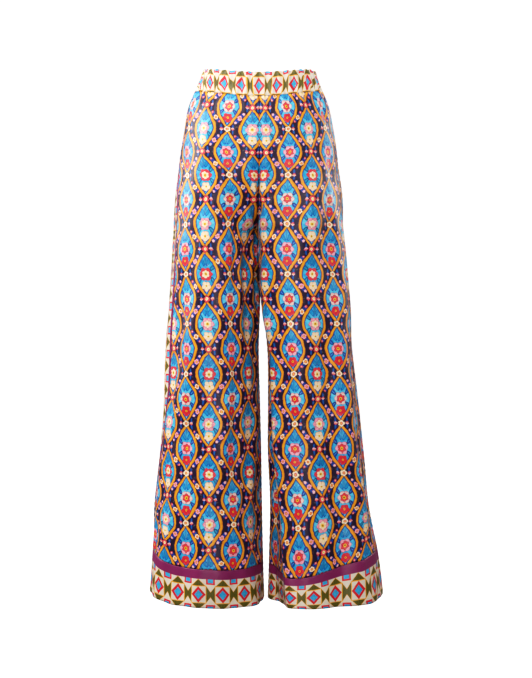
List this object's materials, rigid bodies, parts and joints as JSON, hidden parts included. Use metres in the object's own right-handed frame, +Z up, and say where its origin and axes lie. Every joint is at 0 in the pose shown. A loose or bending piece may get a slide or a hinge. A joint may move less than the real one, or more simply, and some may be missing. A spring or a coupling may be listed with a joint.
{
  "type": "palazzo pants",
  "caption": "Wide-legged pull-on palazzo pants in printed satin, hollow and filled out as worn, with an elasticated waistband, side stripes and border-print hem bands.",
  "frame": {"origin": "middle of the waist opening, half way up the waistband, where the wearer's waist holds the garment", "axes": "+Z up the wearer's body, front of the garment faces -Y, the wearer's left leg is at +X"},
  "size_m": [0.4718, 0.2408, 1.0769],
  "materials": {
    "printed_satin": "light woven satin with a soft sheen, printed with blossoms and lobed frames in blue, pink, red and saffron on dark aubergine",
    "border_print": "the same satin, printed with rows of diamonds and triangles in red, turquoise and olive on cream, with plum edges"
  },
  "bodies": {
    "root": {"waistband_front": "border_print", "waistband_back": "border_print", "front_right": "printed_satin", "front_left": "printed_satin", "back_right": "printed_satin", "back_left": "printed_satin", "side_stripe_right": "border_print", "side_stripe_left": "border_print", "hem_band_front_right": "border_print", "hem_band_back_right": "border_print", "hem_band_front_left": "border_print", "hem_band_back_left": "border_print"}
  },
  "joints": []
}
